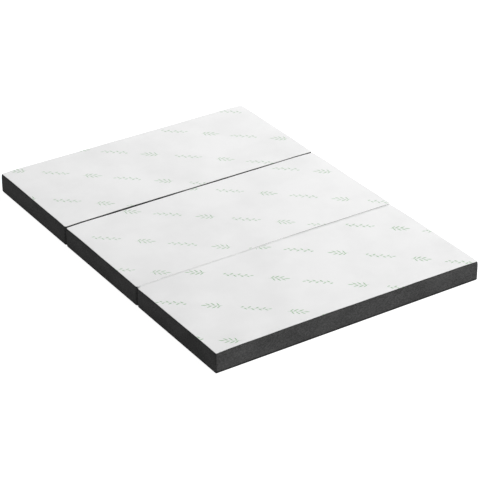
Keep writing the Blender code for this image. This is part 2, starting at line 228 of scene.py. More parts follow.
# Leaves as place, turn in degrees, half length and half width, in metres
sprigLeaves = (
    (-0.024, 0.0075, 58, 0.0125, 0.0021),
    (-0.017, -0.0120, 308, 0.0130, 0.0022),
    (-0.006, 0.0115, 46, 0.0150, 0.0024),
    (0.005, -0.0105, 324, 0.0145, 0.0023),
    (0.016, 0.0125, 38, 0.0140, 0.0022),
    (0.026, -0.0065, 336, 0.0135, 0.0021),
    (0.040, 0.0045, 10, 0.0140, 0.0021),
    (-0.018, -0.0018, 10, 0.0260, 0.0008),
    (0.014, 0.0020, 4, 0.0200, 0.0007),
)
twigLeaves = (
    (-0.056, 0.0062, 36, 0.0088, 0.0022),
    (-0.040, -0.0072, 330, 0.0092, 0.0022),
    (-0.026, 0.0084, 42, 0.0096, 0.0024),
    (-0.009, -0.0070, 326, 0.0098, 0.0024),
    (0.007, 0.0090, 40, 0.0096, 0.0023),
    (0.022, -0.0056, 334, 0.0094, 0.0022),
    (0.037, 0.0096, 44, 0.0088, 0.0021),
    (0.049, -0.0032, 338, 0.0086, 0.0020),
    (0.063, 0.0064, 18, 0.0092, 0.0020),
    (-0.030, -0.0010, 3, 0.0350, 0.0007),
    (0.024, 0.0015, 3, 0.0350, 0.0007),
)


def leafGroup():
    # How far a place is from a leaf's middle line: 1 on the leaf's edge, less inside it.
    group = bpy.data.node_groups.new("leaf", "ShaderNodeTree")
    group.interface.new_socket("Place", in_out="INPUT", socket_type="NodeSocketVector")
    group.interface.new_socket("Field", in_out="OUTPUT", socket_type="NodeSocketFloat")
    entry = group.nodes.new("NodeGroupInput")
    leave = group.nodes.new("NodeGroupOutput")
    parts = addNode(group, "ShaderNodeSeparateXYZ")
    join(group, entry.outputs["Place"], parts.inputs[0])
    along = doMath(group, "MULTIPLY", parts.outputs["X"], parts.outputs["X"])
    across = doMath(group, "ABSOLUTE", parts.outputs["Y"])
    join(group, doMath(group, "ADD", along, across), leave.inputs["Field"])
    return group


leafShape = leafGroup()


def leafField(tree, place, leaves):
    field = None
    for x, y, turn, half, width in leaves:
        mapping = addNode(tree, "ShaderNodeMapping", vector_type="TEXTURE")
        mapping.inputs["Location"].default_value = (x, y, 0)
        mapping.inputs["Rotation"].default_value = (0, 0, radians(turn))
        mapping.inputs["Scale"].default_value = (half, width * knit["leafBreadth"], 1)
        join(tree, place, mapping.inputs["Vector"])
        leaf = addNode(tree, "ShaderNodeGroup", node_tree=leafShape)
        join(tree, mapping.outputs["Vector"], leaf.inputs["Place"])
        field = doMath(tree, "MINIMUM", field, leaf.outputs["Field"]) if field else leaf.outputs["Field"]
    return field


def printMask(tree, shift):
    # Slanting rows of twigs and sprigs in turn; each second pair is turned half round.
    parts = addNode(tree, "ShaderNodeSeparateXYZ")
    join(tree, placeOf(tree, shift, turn=(0, 0, radians(knit["turn"]))), parts.inputs[0])
    row = doMath(tree, "ROUND", doMath(tree, "DIVIDE", parts.outputs["Y"], knit["rowStep"]))
    y = doMath(tree, "SUBTRACT", parts.outputs["Y"], doMath(tree, "MULTIPLY", row, knit["rowStep"]))
    moved = doMath(tree, "ADD", parts.outputs["X"], doMath(tree, "MULTIPLY", row, knit["rowShift"]))
    count = doMath(tree, "ROUND", doMath(tree, "DIVIDE", moved, knit["motifStep"]))
    x = doMath(tree, "SUBTRACT", moved, doMath(tree, "MULTIPLY", count, knit["motifStep"]))
    pair = doMath(tree, "FLOOR", doMath(tree, "DIVIDE", count, 2.0))
    turned = doMath(tree, "FLOORED_MODULO", pair, 2.0)
    sign = doMath(tree, "SUBTRACT", 1.0, doMath(tree, "MULTIPLY", turned, 2.0))
    local = addNode(tree, "ShaderNodeCombineXYZ")
    join(tree, doMath(tree, "MULTIPLY", x, sign), local.inputs["X"])
    join(tree, doMath(tree, "MULTIPLY", y, sign), local.inputs["Y"])
    odd = doMath(tree, "FLOORED_MODULO", count, 2.0)
    choice = addNode(tree, "ShaderNodeMix", data_type="FLOAT")
    join(tree, odd, choice.inputs[0])
    join(tree, leafField(tree, local.outputs[0], twigLeaves), choice.inputs[2])
    join(tree, leafField(tree, local.outputs[0], sprigLeaves), choice.inputs[3])
    rough = speckle(tree, placeOf(tree), knit["raggedScale"], 1.0)
    ragged = spread(tree, rough, -knit["raggedness"], knit["raggedness"])
    field = doMath(tree, "ADD", choice.outputs[0], ragged)
    return spread(tree, field, 1.0, 0.0, *knit["leafEdge"])


def topKnit(section, shift):
    material, tree, shader = startMaterial(section + "TopKnit", Roughness=0.9, Specular_IOR_Level=0.3,
                                           Sheen_Weight=0.08, Sheen_Roughness=0.6)
    place = placeOf(tree)
    cloud = speckle(tree, place, knit["cloudScale"], 3.0)
    white = rampColours(tree, cloud, knit["shade"], knit["white"], *knit["cloudBand"])
    fade = speckle(tree, place, knit["fadeScale"], 2.0)
    ink = rampColours(tree, fade, knit["ink"], knit["inkPale"], *knit["fadeBand"])
    colour = addNode(tree, "ShaderNodeMix", data_type="RGBA")
    mask = doMath(tree, "MULTIPLY", printMask(tree, shift), knit["inkCover"][section])
    join(tree, mask, colour.inputs[0])
    join(tree, white, colour.inputs[6])
    join(tree, ink, colour.inputs[7])
    join(tree, colour.outputs[2], shader.inputs["Base Color"])
    loops = threads(tree, place, *knit["loops"])
    soft = bumpFrom(tree, speckle(tree, place, knit["softScale"], 2.0), knit["softDepth"], 0.5)
    join(tree, bumpFrom(tree, loops, knit["loopDepth"], 0.5, soft), shader.inputs["Normal"])
    return material


printShifts = {"head": (0.060, -0.020, 0), "middle": (-0.075, 0.035, 0), "foot": (0.120, 0.010, 0)}

border = {
    "dark": (0.0262, 0.0262, 0.0262),
    "light": (0.0970, 0.0970, 0.0970),
    "toneBand": (0.39, 0.63),
    "cloud": 9.0,
    "flecks": 125.0,
    "fibre": 520.0,
    "wales": 190.0,
    "shares": (0.20, 0.55, 0.15, 0.10),  # of those four in the tone
    "brushed": {"stretch": (1, 1, 1.6), "turn": (0.6, 0.45, 0.5)},
    "napDepth": 0.0006,
    "waleDepth": 0.0002,
    "fibreDepth": 0.0003,
    "roughBand": (0.86, 0.98),
}


def borderKnit():
    # A brushed jersey: slanting wales of loops under a short nap, with paler flecks, and with painted shade
    # beside its seams.
    material, tree, shader = startMaterial("borderKnit", Roughness=0.93, Specular_IOR_Level=0.25)
    place = placeOf(tree)
    brushed = placeOf(tree, **border["brushed"])
    cloud = speckle(tree, brushed, border["cloud"], 2.0)
    flecks = speckle(tree, brushed, border["flecks"], 3.0, 0.6)
    fibre = speckle(tree, place, border["fibre"], 2.0)
    wales = addNode(tree, "ShaderNodeTexWave", {"Scale": border["wales"], "Distortion": 1.2, "Detail": 1.0},
                    bands_direction="DIAGONAL")
    join(tree, place, wales.inputs["Vector"])
    mixed = 0.0
    for tone, share in zip((cloud, flecks, fibre, wales.outputs["Fac"]), border["shares"]):
        mixed = doMath(tree, "MULTIPLY_ADD", tone, share, mixed)
    # Painted shade: the yarn colour is multiplied by a tone that is darker under the top seam and along the
    # lower edge
    rim = addNode(tree, "ShaderNodeAttribute", attribute_name="paintedShadeTone")
    colour = addNode(tree, "ShaderNodeMix", data_type="RGBA", blend_type="MULTIPLY")
    colour.inputs[0].default_value = 1.0
    yarn = rampColours(tree, mixed, border["dark"], border["light"], *border["toneBand"])
    join(tree, yarn, colour.inputs[6])
    join(tree, rim.outputs["Fac"], colour.inputs[7])
    join(tree, colour.outputs[2], shader.inputs["Base Color"])
    join(tree, spread(tree, flecks, *border["roughBand"]), shader.inputs["Roughness"])
    nap = bumpFrom(tree, flecks, border["napDepth"], 0.35)
    loops = bumpFrom(tree, wales.outputs["Fac"], border["waleDepth"], 0.5, nap)
    join(tree, bumpFrom(tree, fibre, border["fibreDepth"], 0.5, loops), shader.inputs["Normal"])
    return material


# Plain woven cloths: colours, scales of the threads across and along, roughness
wovens = {
    "base": ("baseCloth", (0.018, 0.018, 0.020), (0.042, 0.042, 0.044), 260.0, 260.0, 0.9),
    "hingeDark": ("hingeDark", (0.012, 0.012, 0.013), (0.034, 0.034, 0.036), 420.0, 300.0, 0.9),
    "hingeWhite": ("hingeWhite", (0.70, 0.705, 0.70), (0.82, 0.825, 0.82), 420.0, 300.0, 0.9),
    "zipTape": ("zipTape", (0.006, 0.006, 0.007), (0.022, 0.022, 0.024), 520.0, 380.0, 0.85),
}
weave = {"cloud": 30.0, "cloudShare": 0.6, "toneBand": (0.15, 0.75), "depth": 0.0003}

# Moulded, spun and cast stuffs: colours, grain scale, roughness, grain depth
grains = {
    "dots": ("gripDots", (0.010, 0.010, 0.011), (0.022, 0.022, 0.023), 700.0, 0.75, 0.00008),
    "zipCoil": ("zipCoil", (0.010, 0.010, 0.011), (0.020, 0.020, 0.022), 600.0, 0.38, 0.00005),
    "thread": ("darkThread", (0.020, 0.020, 0.022), (0.050, 0.050, 0.053), 900.0, 0.7, 0.0001),
    "metal": ("zipMetal", (0.16, 0.16, 0.165), (0.30, 0.30, 0.305), 260.0, 0.34, 0.00004),
}
grainSockets = {"dots": {"Specular_IOR_Level": 0.2}, "metal": {"Metallic": 1.0}}
grain = {"band": (0.3, 0.7), "roughShares": (0.8, 1.15)}  # lowest and highest roughness, as shares of it

foamLook = {
    "pale": (0.82, 0.77, 0.60),
    "deep": (0.66, 0.59, 0.41),
    "toneBand": (0.2, 0.8),
    "cells": 520.0,
    "cellDepth": 0.0006,
    "cloud": 9.0,
}


def wovenCloth(name, dark, light, across, along, roughness):
    material, tree, shader = startMaterial(name, Roughness=roughness)
    place = placeOf(tree)
    cells = threads(tree, place, across, along)
    cloud = speckle(tree, place, weave["cloud"], 3.0)
    share = weave["cloudShare"]
    mixed = doMath(tree, "MULTIPLY_ADD", cells, 1 - share, doMath(tree, "MULTIPLY", cloud, share))
    join(tree, rampColours(tree, mixed, dark, light, *weave["toneBand"]), shader.inputs["Base Color"])
    join(tree, bumpFrom(tree, cells, weave["depth"], 0.7), shader.inputs["Normal"])
    return material


def grainy(name, dark, light, scale, roughness, depth, **sockets):
    material, tree, shader = startMaterial(name, **sockets)
    grit = speckle(tree, placeOf(tree), scale, 4.0)
    least, most = grain["roughShares"]
    rough = spread(tree, grit, roughness * least, min(roughness * most, 1.0), *grain["band"])
    join(tree, rampColours(tree, grit, dark, light, *grain["band"]), shader.inputs["Base Color"])
    join(tree, rough, shader.inputs["Roughness"])
    join(tree, bumpFrom(tree, grit, depth, 0.5), shader.inputs["Normal"])
    return material


def openCellFoam():
    material, tree, shader = startMaterial("openCellFoam", Roughness=0.95)
    place = placeOf(tree)
    cells = addNode(tree, "ShaderNodeTexVoronoi", {"Scale": foamLook["cells"]}, feature="SMOOTH_F1")
    join(tree, place, cells.inputs["Vector"])
    cloud = speckle(tree, place, foamLook["cloud"], 2.0)
    both = doMath(tree, "ADD", cells.outputs["Distance"], cloud)
    mixed = doMath(tree, "MULTIPLY", both, 0.5)
    tone = rampColours(tree, mixed, foamLook["pale"], foamLook["deep"], *foamLook["toneBand"])
    join(tree, tone, shader.inputs["Base Color"])
    join(tree, bumpFrom(tree, cells.outputs["Distance"], foamLook["cellDepth"], 0.8), shader.inputs["Normal"])
    return material


looks = {section: topKnit(section, printShifts[section]) for section in sections}
looks["border"] = borderKnit()
looks["foam"] = openCellFoam()
for key, values in wovens.items():
    looks[key] = wovenCloth(*values)
for key, values in grains.items():
    looks[key] = grainy(*values, **grainSockets.get(key, {}))
print("materials made")


# Mesh helpers

def newPiece(name, bm, look, flat=False):
    mesh = bpy.data.meshes.new(name)
    bm.to_mesh(mesh)
    bm.free()
    thing = bpy.data.objects.new(name, mesh)
    bpy.context.scene.collection.objects.link(thing)
    mesh.materials.append(look)
    if not flat:
        mesh.shade_smooth()
    return thing


def thicken(thing, thickness, offset=-1.0):
    modifier = thing.modifiers.new("thickness", "SOLIDIFY")
    modifier.thickness = thickness
    modifier.offset = offset
    modifier.use_even_offset = False


def repeat(thing, name, count, way):
    array = thing.modifiers.new(name, "ARRAY")
    array.count = count
    array.use_relative_offset = False
    array.use_constant_offset = True
    array.constant_offset_displace = way


def faceOut(bm):
    bmesh.ops.recalc_face_normals(bm, faces=bm.faces)


def faceTowards(bm, way):
    # Turns the faces of an open sheet so that its first one looks along a way.
    faceOut(bm)
    if bm.faces[:][0].normal.dot(Vector(way)) < 0:
        bmesh.ops.reverse_faces(bm, faces=bm.faces)


def shift(bm, way):
    bmesh.ops.translate(bm, verts=bm.verts, vec=way)


def clamp(value, low, high):
    return max(low, min(high, value))


# The plan of a section: each point of its outline keeps a core place and an outward way, for every row
# that is drawn out from it

def panelGrid(size, inset, longCells, shortCells):
    bm = bmesh.new()
    bmesh.ops.create_grid(bm, x_segments=longCells, y_segments=shortCells, size=1)
    for vert in bm.verts:
        vert.co = (crowded(vert.co.x), crowded(vert.co.y), 0)
    wide = Vector((size["halfX"] - inset, size["halfY"] - inset, 1))
    bmesh.ops.scale(bm, verts=bm.verts, vec=wide)
    for end in (-1, 1):
        corners = [vert for vert in bm.verts if len(vert.link_edges) == 2 and vert.co.y * end > 0]
        bmesh.ops.bevel(bm, geom=corners, offset=rowRadius(size, inset, end), segments=form["cornerCells"],
                        profile=0.5, affect="VERTICES", material=-1)
    core = bm.verts.layers.float_vector.new("core")
    out = bm.verts.layers.float_vector.new("out")
    for vert in bm.verts:
        if vert.is_boundary:
            radius = rowRadius(size, inset, vert.co.y)
            reach = Vector((wide.x - radius, wide.y - radius))
            middle = Vector((clamp(vert.co.x, -reach.x, reach.x), clamp(vert.co.y, -reach.y, reach.y)))
            way = (vert.co.xy - middle).normalized()
            vert[core] = (middle.x / reach.x, middle.y / reach.y, 0)
            vert[out] = (way.x, way.y, 0)
    for vert in bm.verts:
        way = Vector((0, vert.co.y / wide.y))
        vert.co.y -= way.y * drawnBack(size, way, vert.co.x / wide.x)
    return bm


def crowded(share):
    return share * (1 + form["crowding"] * (1 - share**2))


def rowRadius(size, inset, y):
    full = size["radii"][-1 if y < 0 else 1]
    return max(full - inset, full * form["tightCorner"])


def drawnBack(size, way, share):
    # The seams beside the head's fold lie back a little more at its left end.
    if way.y * size["openSide"] <= 0:
        return 0
    left, right = form["foldDraw"]
    return (left + (right - left) * (share + 1) / 2) * abs(way.y)


def rowPlace(bm, vert, size, inset):
    core = vert[bm.verts.layers.float_vector["core"]]
    way = vert[bm.verts.layers.float_vector["out"]]
    inset += drawnBack(size, way, core.x) * clamp(inset / form["seamInset"], 0, 1)
    radius = rowRadius(size, inset, core.y)
    x = core.x * (size["halfX"] - inset - radius) + way.x * radius
    y = core.y * (size["halfY"] - inset - radius) + way.y * radius
    return Vector((x, y))


def growRow(bm, edges, size, inset, level):
    # Draws the open edges out by one row, at a height or a rule of the place.
    made = bmesh.ops.extrude_edge_only(bm, edges=edges)["geom"]
    fresh = {item for item in made if isinstance(item, bmesh.types.BMVert)}
    for vert in fresh:
        place = rowPlace(bm, vert, size, inset)
        height = level(place.x, place.y) if callable(level) else level
        vert.co = (place.x, place.y, height)
    return [item for item in made if isinstance(item, bmesh.types.BMEdge) and set(item.verts) <= fresh]


def openEdges(bm):
    return [edge for edge in bm.edges if edge.is_boundary]


def topLevel(section, size, x, y):
    # Upper face of a section: droops to its sides and corners, dips at the seam, and waves softly.
    along = abs(x) / size["halfX"]
    across = abs(y) / size["halfY"]
    power = form["droopPower"]
    sag = form["endDroop"] * along**power + form["sideDroop"] * across**power
    rim = min(size["halfX"] - abs(x), size["halfY"] - abs(y)) - form["seamInset"]
    sag += form["seamDip"] * (1 - clamp(rim / form["dipBand"], 0, 1)) ** 2
    corner = Vector((size["halfX"] - abs(x), size["halfY"] - abs(y))).length
    sag += form["cornerDroop"] * exp(-((corner / form["cornerReach"]) ** 2))
    footEnd, headEnd = slopes[section]
    sag -= (footEnd if y < 0 else headEnd) * across**2
    for depth, turnsX, turnsY, start in waves[section]:
        sag += depth * (1 + sin(2 * pi * (turnsX * x + turnsY * y + start))) / 2
    return form["ceiling"] - sag


def seamLevel(section, size, x, y):
    return topLevel(section, size, x, y) - form["lipRadius"]


# Top cover: a knitted panel drawn over the foam, rolled down to its seam

topCover = {
    "cloth": 0.0012,
    "flatRing": 0.002,  # row inside the lip, which keeps the shading of the top flat up to it
    "lipRows": 4,
    "lipDepth": 0.9,  # drop of the lip as a share of its radius
    "turnIn": 0.0004,
    "tuck": 0.0015,
    "tuckDrops": (0.0002, 0.0004),
}
swelling = {"rise": 0.0007, "pressure": 4.0, "stiffness": 40, "growth": 0.006, "quality": 6, "frames": 20}


def swellPanel(section, bm):
    # Lets the panel's cloth rise a little between its seams, by simulation, and caps the rise.
    mesh = bpy.data.meshes.new("panelCloth")
    bm.to_mesh(mesh)
    thing = bpy.data.objects.new("panelCloth", mesh)
    bpy.context.scene.collection.objects.link(thing)
    held = thing.vertex_groups.new(name="held")
    bm.verts.ensure_lookup_table()
    held.add([vert.index for vert in bm.verts if vert.is_boundary], 1.0, "REPLACE")
    cloth = thing.modifiers.new("cloth", "CLOTH")
    cloth.settings.vertex_group_mass = "held"
    cloth.settings.quality = swelling["quality"]
    cloth.settings.tension_stiffness = swelling["stiffness"]
    cloth.settings.compression_stiffness = swelling["stiffness"]
    cloth.settings.shrink_min = -swelling["growth"]
    cloth.settings.use_pressure = True
    cloth.settings.uniform_pressure_force = swelling["pressure"]
    cloth.settings.effector_weights.gravity = 0
    scene = bpy.context.scene
    cloth.point_cache.frame_start = 1
    cloth.point_cache.frame_end = swelling["frames"]
    for step in range(1, swelling["frames"] + 1):
        scene.frame_set(step)
    posed = thing.evaluated_get(bpy.context.evaluated_depsgraph_get()).data
    rises = [posed.vertices[vert.index].co.z - vert.co.z for vert in bm.verts]
    most = max(max(rises), 1e-6)
    print(section, "panel rose by", round(most, 5))
    for vert, rise in zip(bm.verts, rises):
        vert.co.z += swelling["rise"] * clamp(rise / most, 0, 1)
    bpy.data.objects.remove(thing, do_unlink=True)
    scene.frame_set(1)


def makeTopCover(section):
    size = sizes[section]
    lip = form["lipRadius"]
    start = form["seamInset"] + lip

    def under(drop):
        return lambda x, y: topLevel(section, size, x, y) - drop

    bm = panelGrid(size, start + topCover["flatRing"], form["longCells"], form["shortCells"])
    for vert in bm.verts:
        vert.co.z = topLevel(section, size, vert.co.x, vert.co.y)
    swellPanel(section, bm)
    faceOut(bm)
    edges = growRow(bm, openEdges(bm), size, start, under(0))
    for step in range(1, topCover["lipRows"] + 1):
        angle = step / topCover["lipRows"] * pi / 2
        drop = lip * (1 - cos(angle)) * topCover["lipDepth"]
        edges = growRow(bm, edges, size, start - lip * sin(angle), under(drop))
    turned = form["seamInset"] + topCover["turnIn"]
    outer, inner = topCover["tuckDrops"]
    edges = growRow(bm, edges, size, turned, under(lip + outer))
    growRow(bm, edges, size, turned + topCover["tuck"], under(lip + inner))
    faceOut(bm)
    shift(bm, size["centre"] * Vector((1, 1, 0)))
    thing = newPiece(section + "TopCover", bm, looks[section])
    thicken(thing, topCover["cloth"])
    return thing


# Border: one strip round the section, from the top seam over the rounded lower edge to the base seam

borderBand = {
    "cloth": 0.0014,
    "flat": 0.109,  # width laid flat, with both tucks
    "tuck": 0.0045,
    "tuckDrop": 0.0010,
    "baseTuckLift": 0.0016,
    "groove": 0.0006,
    "grooveLip": 0.0002,
    "bulge": ((0.76, 0.0030), (0.45, 0.0080), (0.19, 0.0140), (0.03, 0.0210)),  # share of seamInset, drop
    "roundRows": 5,
    "slotCorner": 0.003,
    "besideSlot": 0.0173,  # rows above and below the zip, past its stitching
}
zipForm = {
    "low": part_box("middle_zip_tape_lower"),
    "high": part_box("middle_zip_tape_upper"),
    "slotHalf": 0.008,
    "lap": 0.010,
    "pitch": 0.0015,
    "stitch": 0.0034,
    "stitchLength": 0.0025,
    "stitchWidth": 0.0005,
    "stitchInset": 0.0024,
    "stitchHeight": 0.0004,
    "stitchEase": 0.00012,
    "stitchLift": 0.00005,
}
tapeForm = {"columns": 60, "rows": 14, "ribs": 7, "ribDepth": 0.00006, "slack": 0.0001}
coilForm = {"wire": 0.52, "ease": 0.00018, "headSpread": 0.55, "slant": 0.18, "overlap": 0.0002}
zipForm["z"] = (zipForm["low"][1].z + zipForm["high"][0].z) / 2
zipForm["half"] = (zipForm["high"][1].y - zipForm["high"][0].y) / 2 - zipForm["lap"]


def alignToSlot(bm, size):
    # Moves points of the right-hand side's outline to the ends of the zip slot and of its corners.
    core = bm.verts.layers.float_vector["core"]
    out = bm.verts.layers.float_vector["out"]
    for end in (-1, 1):
        flat = size["halfY"] - size["radii"][end]
        rim = [vert for vert in bm.verts if vert.is_boundary]
        side = [vert for vert in rim if vert[out].x > 0.99 and vert[core].y * end > 0]
        side.sort(key=lambda vert: vert[core].y * end)
        middle = (zipForm["half"] - borderBand["slotCorner"] / 2) / flat
        past = next(index for index, vert in enumerate(side) if vert[core].y * end > middle)
        targets = (zipForm["half"] - borderBand["slotCorner"], zipForm["half"])
        for vert, target in zip(side[past - 1:past + 1], targets):
            vert[core] = (vert[core].x, end * target / flat, 0)


def cutSlot(bm, size):
    # Opens the zip's slot in the right-hand wall; its corner cells lose only their inner triangle.
    half = zipForm["slotHalf"]
    corner = borderBand["slotCorner"]
    gone = []
    for face in bm.faces:
        middle = face.calc_center_median()
        inY = abs(middle.y) < zipForm["half"]
        inZ = abs(middle.z - zipForm["z"]) < half
        if middle.x > size["halfX"] - form["seamInset"] / 2 and inY and inZ:
            gone.append(face)
    kept = []
    for face in list(gone):
        middle = face.calc_center_median()
        if abs(middle.y) > zipForm["half"] - corner and abs(middle.z - zipForm["z"]) > half - corner:
            inner = min(face.verts, key=lambda vert: abs(vert.co.y) + abs(vert.co.z - zipForm["z"]))
            kept.append((face, inner))
    for face, inner in kept:
        gone.remove(face)
        beside = [edge.other_vert(inner) for edge in inner.link_edges if edge in face.edges]
        bmesh.ops.connect_verts(bm, verts=beside)
        gone += [part for part in inner.link_faces if part not in gone and set(beside) <= set(part.verts)]
    bmesh.ops.delete(bm, geom=gone, context="FACES")


# Painted shade beside the two seams, as shadow under the top seam and contact shadow along the rounded lower
# edge: the tone there as a share of the wall's, and how far from them it reaches
paintedRimShade = {"lowShadeTone": 0.15, "lowDark": 0.0075, "lowFade": 0.0050, "topShadeTone": 0.60, "topFade": 0.0080}


def paintRimShade(section, bm, size):
    # Paints shade into the border: darker under the top seam, much darker along the lower edge
    tone = bm.verts.layers.float.new("paintedShadeTone")
    for vert in bm.verts:
        below = seamLevel(section, size, vert.co.x, vert.co.y) - vert.co.z
        above = vert.co.z - form["baseLift"] - paintedRimShade["lowDark"]
        top = paintedRimShade["topShadeTone"] + (1 - paintedRimShade["topShadeTone"]) * clamp(below / paintedRimShade["topFade"], 0, 1)
        low = paintedRimShade["lowShadeTone"] + (1 - paintedRimShade["lowShadeTone"]) * clamp(above / paintedRimShade["lowFade"], 0, 1)
        vert[tone] = min(top, low)


def makeBorder(section):
    size = sizes[section]
    seam = form["seamInset"]
    tuck = seam + borderBand["tuck"]
    bm = panelGrid(size, tuck, form["longCells"], form["shortCells"])
    alignToSlot(bm, size)
    edges = openEdges(bm)
    rim = list(edges)
    bmesh.ops.delete(bm, geom=[vert for vert in bm.verts if not vert.is_boundary], context="VERTS")
    bmesh.ops.delete(bm, geom=list(bm.faces), context="FACES_ONLY")
    loose = [edge for edge in bm.edges if edge not in rim]
    bmesh.ops.delete(bm, geom=loose, context="EDGES")

    def under(drop):
        return lambda x, y: seamLevel(section, size, x, y) - drop

    for vert in bm.verts:
        place = rowPlace(bm, vert, size, tuck)
        vert.co = (place.x, place.y, under(borderBand["tuckDrop"])(place.x, place.y))
    groove = borderBand["groove"]
    half = zipForm["slotHalf"]
    cut = half - borderBand["slotCorner"]
    low = form["baseLift"]
    # Top of the band painted darkest along the lower edge, as contact shadow
    dark = low + paintedRimShade["lowDark"]
    rows = [(seam + groove, under(groove)), (seam - borderBand["grooveLip"], under(2 * groove))]
    rows += [(seam * share, under(drop)) for share, drop in borderBand["bulge"]]
    for offset in (borderBand["besideSlot"], half, cut, 0, -cut, -half, -borderBand["besideSlot"]):
        rows.append((0, zipForm["z"] + offset))
    # Rows that bound the painted contact shadow along the lower edge
    rows += [(0, dark + paintedRimShade["lowFade"]), (0, dark)]
    edges = rim
    for inset, level in rows:
        edges = growRow(bm, edges, size, inset, level)
    radius = form["edgeRadius"]
    for step in range(borderBand["roundRows"] + 1):
        angle = step / borderBand["roundRows"] * pi / 2
        edges = growRow(bm, edges, size, radius * (1 - cos(angle)), low + radius * (1 - sin(angle)))
    growRow(bm, edges, size, radius + borderBand["tuck"], low + borderBand["baseTuckLift"])
    bmesh.ops.remove_doubles(bm, verts=bm.verts, dist=0.00001)
    faceOut(bm)
    cutSlot(bm, size)
    paintRimShade(section, bm, size)
    shift(bm, size["centre"] * Vector((1, 1, 0)))
    thing = newPiece(section + "Border", bm, looks["border"])
    thicken(thing, borderBand["cloth"])
    return thing


# Base cover with small grip dots

baseCover = {
    "cloth": 0.0009,
    "lift": 0.0004,
    "inset": 0.0006,  # inside the border's rounded edge
    "turnIn": ((-0.0003, 0.0004), (0.0040, 0.0012)),  # inset and lift of the turned edge, from the cover's
    "cellsPerTopCell": 3,
}
gripDots = {"radius": 0.0024, "top": 0.0016, "pitch": 0.020, "margin": 0.018, "sides": 8}


def makeBaseCover(section):
    size = sizes[section]
    inset = form["edgeRadius"] + baseCover["inset"]
    coarse = baseCover["cellsPerTopCell"]
    bm = panelGrid(size, inset, form["longCells"] // coarse, form["shortCells"] // coarse)
    for vert in bm.verts:
        vert.co.z = baseCover["lift"]
    edges = openEdges(bm)
    for further, lift in baseCover["turnIn"]:
        edges = growRow(bm, edges, size, inset + further, baseCover["lift"] + lift)
    faceTowards(bm, (0, 0, -1))
    shift(bm, size["centre"] * Vector((1, 1, 0)))
    thing = newPiece(section + "BaseCover", bm, looks["base"])
    thicken(thing, baseCover["cloth"])
    return thing


def makeGripDots(section):
    # Two staggered dots, repeated in both directions.
    size = sizes[section]
    pitch = gripDots["pitch"]
    columns = int(2 * (size["halfX"] - gripDots["margin"]) / pitch)
    rows = int(2 * (size["halfY"] - gripDots["margin"]) / pitch)
    bm = bmesh.new()
    for step in (0, 0.5):
        made = bmesh.ops.create_cone(bm, cap_ends=True, segments=gripDots["sides"], radius1=gripDots["top"],
                                     radius2=gripDots["radius"], depth=baseCover["lift"])
        bmesh.ops.translate(bm, verts=made["verts"], vec=(step * pitch, step * pitch, baseCover["lift"] / 2))
    middle = size["centre"]
    shift(bm, (middle.x - (columns - 0.5) * pitch / 2, middle.y - (rows - 0.5) * pitch / 2, 0))
    thing = newPiece(section + "GripDots", bm, looks["dots"], flat=True)
    repeat(thing, "columns", columns, (pitch, 0, 0))
    repeat(thing, "rows", rows, (0, pitch, 0))
    return thing


# Foam core, cut with softened edges

foamCore = {
    "gap": 0.0020,
    "beside": 0.0006,  # between the core and the back of the zip slider
    "topRound": 0.006,
    "rows": 4,
    "base": 0.0030,
    "baseRound": 0.004,  # more than what is left of the border's own rounding
    "wallRows": (0.051, 0.034, 0.017),
    "cellsPerTopCell": 3,
}


def makeFoamCore(section):
    size = sizes[section]
    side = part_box(section + "_zip_slider")[0].x - size["centre"].x
    inset = size["halfX"] - side + foamCore["beside"]
    start = inset + foamCore["topRound"]
    coarse = foamCore["cellsPerTopCell"]
    bm = panelGrid(size, start, form["longCells"] // coarse, form["shortCells"] // coarse)
    under = topCover["cloth"] + foamCore["gap"]

    def level(drop):
        return lambda x, y: topLevel(section, size, x, y) - under - drop

    for vert in bm.verts:
        vert.co.z = level(0)(vert.co.x, vert.co.y)
    edges = openEdges(bm)
    for step in range(1, foamCore["rows"] + 1):
        angle = step / foamCore["rows"] * pi / 2
        drop = foamCore["topRound"] * (1 - cos(angle))
        edges = growRow(bm, edges, size, start - foamCore["topRound"] * sin(angle), level(drop))
    bottom = form["edgeRadius"] - inset + foamCore["baseRound"]
    for height in foamCore["wallRows"]:
        edges = growRow(bm, edges, size, inset, foamCore["base"] + bottom + height)
    for step in range(foamCore["rows"] + 1):
        angle = step / foamCore["rows"] * pi / 2
        height = foamCore["base"] + bottom * (1 - sin(angle))
        edges = growRow(bm, edges, size, inset + bottom * (1 - cos(angle)), height)
    bmesh.ops.edgeloop_fill(bm, edges=edges)
    faceOut(bm)
    shift(bm, size["centre"] * Vector((1, 1, 0)))
    return newPiece(section + "FoamCore", bm, looks["foam"])


# Hinge strips

hinge = {
    "cloth": 0.0006,
    "columns": 72,
    "rows": 12,
    "sag": 0.0006,
    "lap": 0.0016,
    "clearance": 0.0002,
    "upperInset": 0.006,  # from the side walls to the strips' ends
    "lowerInset": 0.010,
    "lowerBend": 0.004,  # how far the bend of the lower strip reaches on each side of its fold
}


def stripGrid(fold, half, reach):
    # A flat strip along a fold line, at Z = 0.
    bm = bmesh.new()
    bmesh.ops.create_grid(bm, x_segments=hinge["columns"], y_segments=hinge["rows"], size=1)
    bmesh.ops.scale(bm, verts=bm.verts, vec=(half, reach, 1))
    shift(bm, (sizes["middle"]["centre"].x, fold, 0))
    return bm


